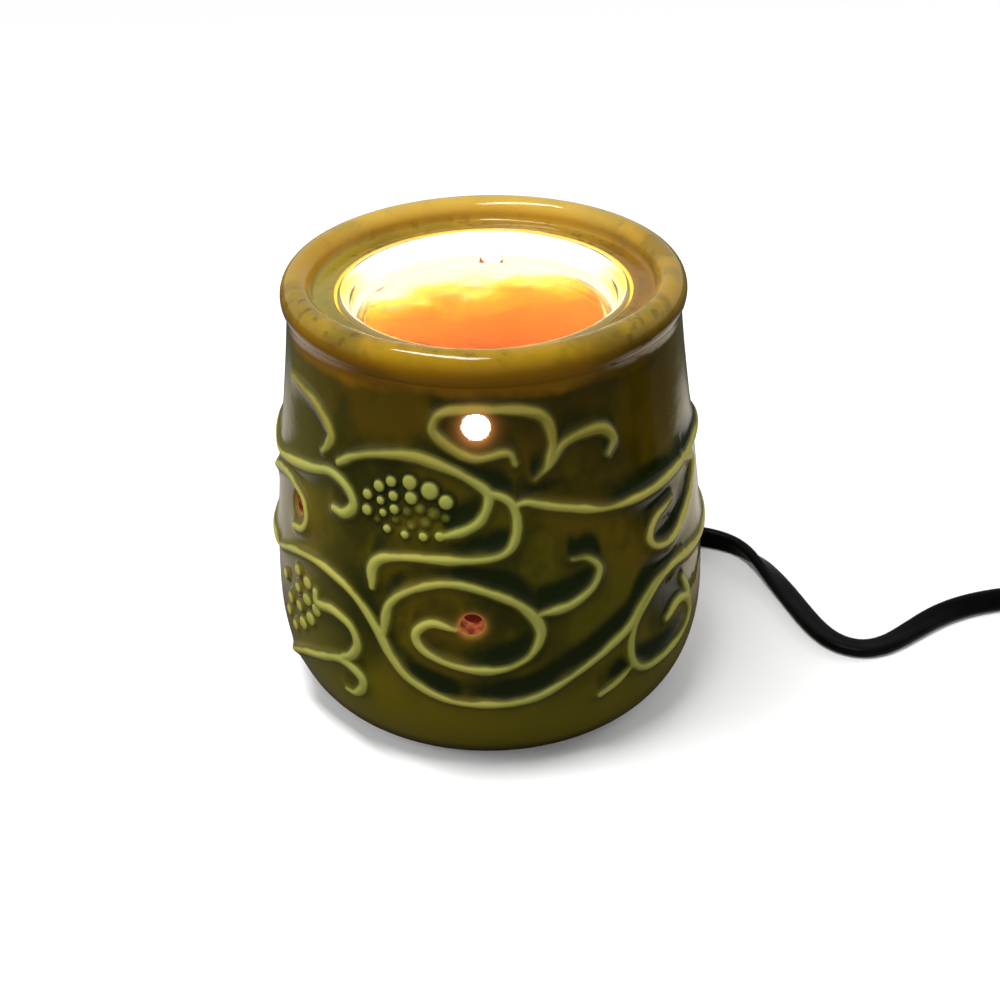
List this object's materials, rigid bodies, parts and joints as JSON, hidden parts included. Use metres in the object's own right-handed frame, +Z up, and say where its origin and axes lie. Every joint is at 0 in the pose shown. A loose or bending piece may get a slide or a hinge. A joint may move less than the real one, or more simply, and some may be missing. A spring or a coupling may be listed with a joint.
{
  "type": "electric oil warmer",
  "caption": "Glazed ceramic pot with a raised scroll vine, a lift-out glass oil dish in its mouth, a screw-in lamp below, and a flat mains flex with an inline thumb-wheel switch and plug",
  "frame": {"origin": "on the table under the middle of the pot's foot", "axes": "+Z up the pot's axis, -Y to the pictured front, +X to the right seen from the front, where the cord lies"},
  "size_m": [0.324, 0.1165, 0.102],
  "materials": {
    "glazed_ceramic": "olive green gloss glaze, paler on the raised vine and amber at the rim",
    "black_rubber": "matte moulded rubber",
    "clear_glass": "clear pressed glass",
    "amber_oil": "orange scented oil, still and glossy",
    "plated_steel": "zinc plated steel",
    "black_phenolic": "moulded phenolic",
    "brass": "stamped brass",
    "bulb_cap_metal": "thin rolled metal cap",
    "black_insulator": "black vitreous insulator",
    "lamp_glass": "thin blown glass",
    "bulb_wire": "nickel wire",
    "filament": "drawn tungsten, glowing",
    "black_flex": "black flat twin flex, soft gloss",
    "black_plastic": "black moulded plastic",
    "tie_plastic": "flat plastic tie"
  },
  "bodies": {
    "warmer": {"ceramic_body": "glazed_ceramic", "rubber_foot_1": "black_rubber", "rubber_foot_2": "black_rubber", "rubber_foot_3": "black_rubber", "rubber_foot_4": "black_rubber", "strain_relief": "black_rubber", "holder_nipple": "plated_steel", "nipple_washer": "plated_steel", "nipple_nut_lower": "plated_steel", "nipple_nut_upper": "plated_steel", "holder_bracket": "plated_steel", "bracket_screw_1": "plated_steel", "bracket_screw_2": "plated_steel", "switch_pin": "plated_steel", "switch_screw_1": "plated_steel", "switch_screw_2": "plated_steel", "lampholder_body": "black_phenolic", "lampholder_screw_shell": "brass", "lampholder_contact": "brass", "plug_blade_1": "brass", "plug_blade_2": "brass", "cord_inner": "black_flex", "cord_lead": "black_flex", "cord_link": "black_flex", "cord_coil": "black_flex", "cord_tail": "black_flex", "wire_live": "black_flex", "wire_neutral": "black_flex", "switch_base": "black_plastic", "switch_cover": "black_plastic", "plug_body": "black_plastic", "coil_tie": "tie_plastic"},
    "dish": {"glass_dish": "clear_glass", "scented_oil": "amber_oil"},
    "bulb_carrier": {"bulb_tip_contact": "bulb_cap_metal"},
    "bulb": {"bulb_glass": "lamp_glass", "bulb_screw_cap": "bulb_cap_metal", "bulb_insulator": "black_insulator", "bulb_stem": "lamp_glass", "bulb_lead_wire_1": "bulb_wire", "bulb_lead_wire_2": "bulb_wire", "bulb_filament": "filament"},
    "thumb_wheel": {"switch_wheel": "black_plastic"}
  },
  "joints": [
    {"name": "dish_lift", "type": "slide", "parent": "warmer", "child": "dish", "axis": [0, 0, 1], "range_m": [0, 0.06]},
    {"name": "bulb_rise", "type": "slide", "parent": "warmer", "child": "bulb_carrier", "axis": [0, 0, 1], "range_m": [0, 0.0089]},
    {"name": "bulb_turn", "type": "hinge", "parent": "bulb_carrier", "child": "bulb", "pos_m": [0, 0, 0.06], "axis": [0, 0, 1], "range_deg": [0, 1260]},
    {"name": "switch_wheel_turn", "type": "hinge", "parent": "warmer", "child": "thumb_wheel", "pos_m": [0.172, 0.0202, 0.0075], "axis": [0, 0, 1], "continuous": true}
  ],
  "couplings": [
    {"joint": "bulb_rise", "follows": "bulb_turn", "m_per_rad": 0.00040425}
  ]
}
